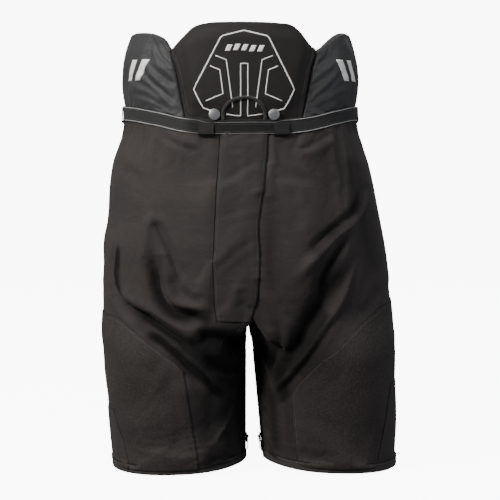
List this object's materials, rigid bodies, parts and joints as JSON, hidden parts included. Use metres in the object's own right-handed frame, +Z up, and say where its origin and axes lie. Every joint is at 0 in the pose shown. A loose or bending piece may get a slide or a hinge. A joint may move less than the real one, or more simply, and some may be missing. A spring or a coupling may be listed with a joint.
{
  "type": "hockey pants",
  "caption": "Padded ice hockey pants with floating spine and kidney pads, a webbing belt with a cam buckle, a laced fly, thigh guards and inner-leg zips.",
  "frame": {"origin": "middle of the waist opening, level with the belt's middle at the wearer's sides", "axes": "+Z up, +Y to the wearer's front, +X to the wearer's right"},
  "size_m": [0.4172, 0.2797, 0.6166],
  "materials": {
    "shell_fabric": "woven nylon oxford",
    "leg_fabric": "heavy textured nylon",
    "hem_fabric": "folded nylon binding",
    "liner_fabric": "brushed tricot",
    "foam": "closed-cell foam",
    "guard_plastic": "moulded polyethylene",
    "silver_print": "raised silver print",
    "kidney_fabric": "crinkled nylon taffeta",
    "spine_fabric": "coated nylon",
    "webbing": "woven webbing",
    "piping": "woven piping",
    "loop_webbing": "woven webbing",
    "buckle_plastic": "moulded acetal",
    "steel": "plain steel",
    "eyelet_metal": "satin",
    "button_chrome": "polished",
    "lace_cotton": "waxed cotton",
    "tongue_fabric": "woven nylon",
    "loop_cord": "braided cord",
    "zip_tape": "woven tape with moulded teeth",
    "zip_metal": "satin black"
  },
  "bodies": {
    "pelvis": {"seat_back_centre": "shell_fabric", "seat_back_left": "shell_fabric", "seat_back_right": "shell_fabric", "seat_front_left": "shell_fabric", "seat_front_right": "shell_fabric", "waistband": "shell_fabric", "fly_tongue": "tongue_fabric", "fly_eyelets": "eyelet_metal", "fly_lace": "lace_cotton", "front_buttons": "button_chrome", "seat_liner": "liner_fabric", "tailbone_foam": "foam", "tailbone_plate": "guard_plastic", "hip_foam_left": "foam", "hip_foam_right": "foam", "hip_plate_left": "guard_plastic", "hip_plate_right": "guard_plastic", "belt": "webbing", "belt_piping": "piping", "belt_tail": "webbing", "belt_loops": "loop_webbing", "belt_keeper": "loop_webbing", "buckle_frame": "buckle_plastic", "buckle_pin": "steel", "groin_left": "shell_fabric", "groin_right": "shell_fabric"},
    "buckle_lever": {"buckle_lever": "buckle_plastic"},
    "spine_pad": {"spine_cover": "spine_fabric", "spine_plate": "guard_plastic", "spine_foam": "foam", "spine_lining": "liner_fabric", "spine_trim": "silver_print", "back_buttons": "button_chrome"},
    "hanging_loop": {"hanging_loop": "loop_cord"},
    "kidney_pad_left": {"kidney_cover_left": "kidney_fabric", "kidney_foam_left": "foam", "kidney_plate_left": "guard_plastic", "kidney_emblem_left": "silver_print"},
    "leg_left": {"leg_shell_left": "leg_fabric", "leg_liner_left": "liner_fabric", "hem_binding_left": "hem_fabric", "thigh_foam_left": "foam", "thigh_plate_left": "guard_plastic", "zip_left": "zip_tape"},
    "zip_slider_left": {"zip_slider_left": "zip_metal"},
    "zip_pull_left": {"zip_pull_left": "zip_metal"},
    "kidney_pad_right": {"kidney_cover_right": "kidney_fabric", "kidney_foam_right": "foam", "kidney_plate_right": "guard_plastic", "kidney_emblem_right": "silver_print"},
    "leg_right": {"leg_shell_right": "leg_fabric", "leg_liner_right": "liner_fabric", "hem_binding_right": "hem_fabric", "thigh_foam_right": "foam", "thigh_plate_right": "guard_plastic", "zip_right": "zip_tape"},
    "zip_slider_right": {"zip_slider_right": "zip_metal"},
    "zip_pull_right": {"zip_pull_right": "zip_metal"}
  },
  "joints": [
    {"name": "left_hip", "type": "hinge", "parent": "pelvis", "child": "leg_left", "pos_m": [0, 0, -0.18], "axis": [1, 0, 0], "range_deg": [-10, 20], "stiffness_Nm_per_rad": 0.4, "deforming": ["groin_left"]},
    {"name": "right_hip", "type": "hinge", "parent": "pelvis", "child": "leg_right", "pos_m": [0, 0, -0.18], "axis": [1, 0, 0], "range_deg": [-10, 20], "stiffness_Nm_per_rad": 0.4, "deforming": ["groin_right"]},
    {"name": "spine_pad_flex", "type": "hinge", "parent": "pelvis", "child": "spine_pad", "pos_m": [0, -0.122, -0.0065], "axis": [1, 0, 0], "range_deg": [0, 12], "stiffness_Nm_per_rad": 0.8},
    {"name": "kidney_pad_right_flex", "type": "hinge", "parent": "pelvis", "child": "kidney_pad_right", "pos_m": [0.166, 0, -0.007], "axis": [0, 1, 0], "range_deg": [0, 10], "stiffness_Nm_per_rad": 0.8},
    {"name": "kidney_pad_left_flex", "type": "hinge", "parent": "pelvis", "child": "kidney_pad_left", "pos_m": [-0.166, 0, -0.007], "axis": [0, -1, 0], "range_deg": [0, 10], "stiffness_Nm_per_rad": 0.8},
    {"name": "buckle_lever_turn", "type": "hinge", "parent": "pelvis", "child": "buckle_lever", "pos_m": [0.012, 0.12613, -0.006], "axis": [0, 0, -1], "range_deg": [0, 95]},
    {"name": "hanging_loop_swing", "type": "hinge", "parent": "spine_pad", "child": "hanging_loop", "pos_m": [0, -0.12404, -0.0036], "axis": [1, 0, 0], "range_deg": [0, 90], "stiffness_Nm_per_rad": 0.002},
    {"name": "zip_slider_left_run", "type": "slide", "parent": "leg_left", "child": "zip_slider_left", "axis": [0.003, -0.01, 0.9999], "range_m": [0, 0.11]},
    {"name": "zip_pull_left_swing", "type": "hinge", "parent": "zip_slider_left", "child": "zip_pull_left", "pos_m": [0.0095, -0.00121, -0.45701], "axis": [1, 0, -0.003], "range_deg": [-60, 60]},
    {"name": "zip_slider_right_run", "type": "slide", "parent": "leg_right", "child": "zip_slider_right", "axis": [-0.0926, -0.0099, 0.9956], "range_m": [0, 0.11]},
    {"name": "zip_pull_right_swing", "type": "hinge", "parent": "zip_slider_right", "child": "zip_pull_right", "pos_m": [0.02719, -0.00121, -0.45732], "axis": [-0.9957, 0, -0.0926], "range_deg": [-60, 60]}
  ]
}
